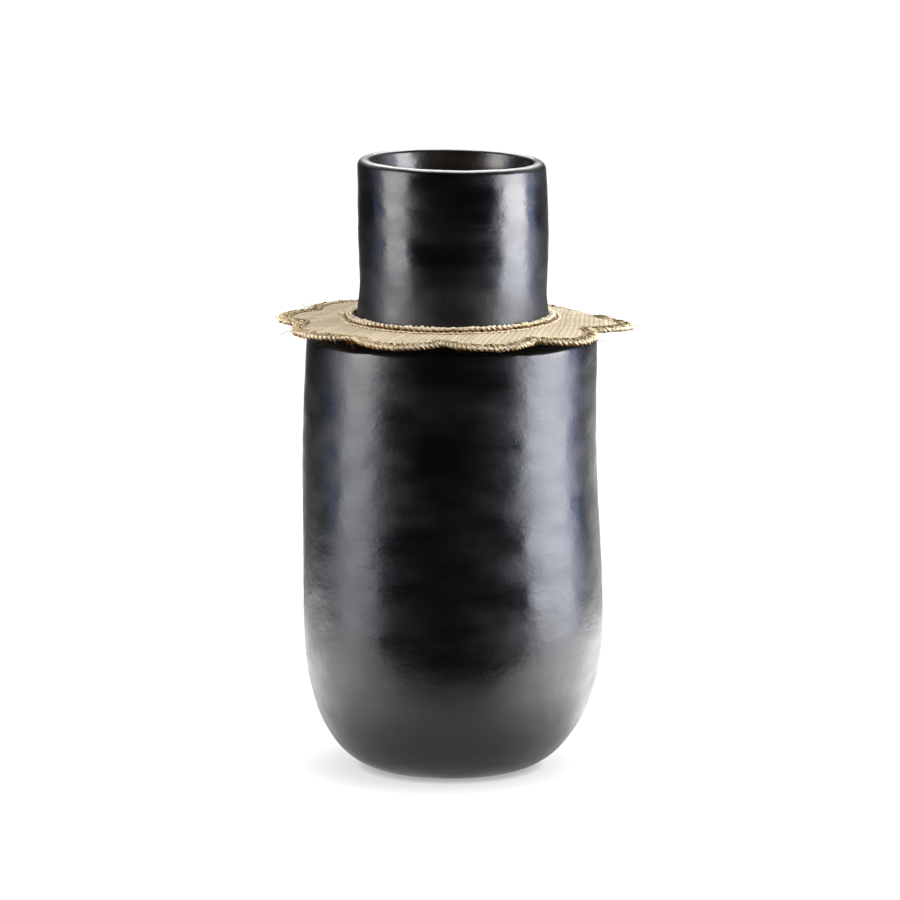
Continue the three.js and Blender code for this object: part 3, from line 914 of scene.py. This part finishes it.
far_off = add(tree, "MapRange", {0: from_middle, 1: 0.4, 2: 0.9}, **soft)
sweep_end = add(tree, "MapRange", {0: from_middle, 1: 1.5, 2: 2.1, 3: 1.0, 4: 0.12}, **soft)
sweep_share = add(tree, "Math", {0: far_off, 1: sweep_end}, "MULTIPLY")
around_vase = add(tree, "Math", {0: surround(tree, heading), 1: sweep_share}, "MULTIPLY")
straight_back = add(tree, "MapRange", {0: heading_parts.outputs["Y"], 1: 0.95, 2: 0.995}, **soft)
far_level = add(tree, "Math", {0: straight_back, 1: far_off, 2: around_vase}, "MULTIPLY_ADD")
whole_floor = add(tree, "Math", {0: lit_level, 1: far_level}, "MAXIMUM")
dimmed = add(tree, "Math", {0: whole_floor, 1: on_cloth}, "MULTIPLY")
lit_strength = add(tree, "Math", {0: dimmed, 1: 0.03}, "ADD")
level = add(tree, "Mix", {"Factor": seen.outputs["Is Camera Ray"], 2: lit_strength, 3: painted_floor_shadow})
glow = add(tree, "Emission", {"Color": linear("#ffffff"), "Strength": level})
add(tree, "OutputMaterial", {"Surface": glow})
floor_mesh.materials.append(sweep)


def soft_box(name, turn, half_width, low, high, brightness, colour, lights_cloth):
    """A light panel that faces the vase; turn is its angle in degrees from the camera, to the right.

    The panels that only shape the shine on the clay don't light the cloth."""
    distance = 0.75
    panel = bpy.data.lights.new(name, "AREA")
    panel.shape = "RECTANGLE"
    panel.size = 2 * distance * math.tan(math.radians(half_width))
    panel.size_y = high - low
    panel.color = linear(colour)[:3]
    panel.energy = brightness * math.pi * panel.size * panel.size_y
    stand = put(name, panel)
    away = Vector((math.sin(math.radians(turn)), -math.cos(math.radians(turn)), 0))
    stand.location = distance * away + Vector((0, 0, (low + high) / 2))
    stand.rotation_euler = away.to_track_quat("Z", "Y").to_euler()
    stand.visible_camera = False
    stand.visible_diffuse = lights_cloth


soft_box("left_box_low", -72, 15, 0.0, 0.27, 4.3, "#ffffff", False)
soft_box("left_box_high", -71, 15, 0.27, 1.0, 7.4, "#fff8f0", True)
soft_box("left_window", -78, 27, 0.0, 1.0, 0.9, "#b9caff", False)
soft_box("right_box_low", 78, 21, 0.0, 0.27, 7.8, "#ffffff", False)
soft_box("right_box_high", 78, 18, 0.27, 0.85, 13.0, "#fffdf8", True)
soft_box("right_window", 84, 28, 0.0, 0.85, 2.4, "#aec0ff", False)

# A weak lamp overhead fills the cloth. It is too high to show in the clay.
fill = bpy.data.lights.new("overhead_fill", "AREA")
fill.size = 1.2
fill.energy = 5
overhead = put("overhead_fill", fill)
overhead.location = (0, -0.4, 1.6)
overhead.rotation_euler = (-0.3, 0, 0)
overhead.visible_camera = False
overhead.visible_glossy = False

# The room above the sweep: a bright canopy behind and overhead, dark towards the camera.
room = bpy.data.worlds.new("white_studio")
room.use_nodes = True
tree = room.node_tree
tree.nodes.clear()
camera_white = 1.3
direction = add(tree, "TexCoord").outputs["Generated"]
towards = add(tree, "SeparateXYZ", {0: direction})
upward = add(tree, "Math", {0: towards.outputs["Z"], 1: 0.0}, "MAXIMUM")
backward = add(tree, "Math", {0: upward, 1: 0.55, 2: towards.outputs["Y"]}, "MULTIPLY_ADD")
canopy = add(tree, "MapRange", {0: backward, 1: 0.62, 2: 0.9}, **soft)
above_sweep = add(tree, "MapRange", {0: towards.outputs["Z"], 1: 0.25, 2: 0.5, 3: 0.05, 4: 1.0}, **soft)
sideways = add(tree, "Math", {0: towards.outputs["X"]}, "ABSOLUTE")
narrow = add(tree, "MapRange", {0: sideways, 1: 0.2, 2: 0.45, 3: 1.0, 4: 0.15}, **soft)
high_back = add(tree, "Math", {0: canopy, 1: above_sweep}, "MULTIPLY")
seen = add(tree, "LightPath")
canopy_level = add(tree, "MapRange", {0: seen.outputs["Is Glossy Ray"], 3: 1.6, 4: 9.0})
narrowed = add(tree, "Math", {0: canopy_level, 1: narrow}, "MULTIPLY")
brighter = add(tree, "Math", {0: high_back, 1: narrowed}, "MULTIPLY")
strength = add(tree, "Mix", {"Factor": seen.outputs["Is Camera Ray"], 2: brighter, 3: camera_white})
sky = add(tree, "Background", {"Color": linear("#ffffff"), "Strength": strength})
add(tree, "OutputWorld", {"Surface": sky})
bpy.context.scene.world = room
bpy.context.scene.view_settings.view_transform = "Standard"
bpy.context.scene.view_settings.look = "None"
